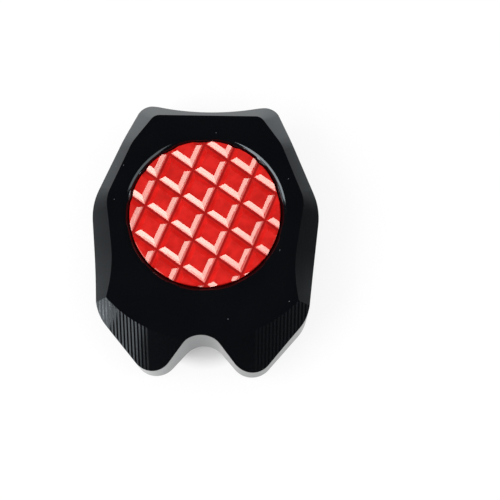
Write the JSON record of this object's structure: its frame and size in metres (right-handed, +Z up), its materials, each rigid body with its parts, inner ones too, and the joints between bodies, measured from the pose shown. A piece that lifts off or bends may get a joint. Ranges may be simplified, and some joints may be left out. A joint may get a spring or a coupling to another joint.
{
  "type": "centre stand extension",
  "caption": "Black bevelled foot pad with a red diamond-tread disc, slipped over a motorbike centre stand's tang and clamped by grub screws to give the foot a wider step.",
  "frame": {"origin": "on the base plane, under the axis of the tread disc", "axes": "+Z up out of the tread, +Y towards the far side where the stand's tang goes in, X across the pad"},
  "size_m": [0.0608, 0.0728, 0.019],
  "materials": {
    "pad_body": "gloss black anodised, machined",
    "tread_disc": "red anodised, machined",
    "clamp_screws": "black oxide"
  },
  "bodies": {
    "root": {"pad_body": "pad_body", "tread_disc": "tread_disc", "clamp_screws": "clamp_screws"}
  },
  "joints": []
}
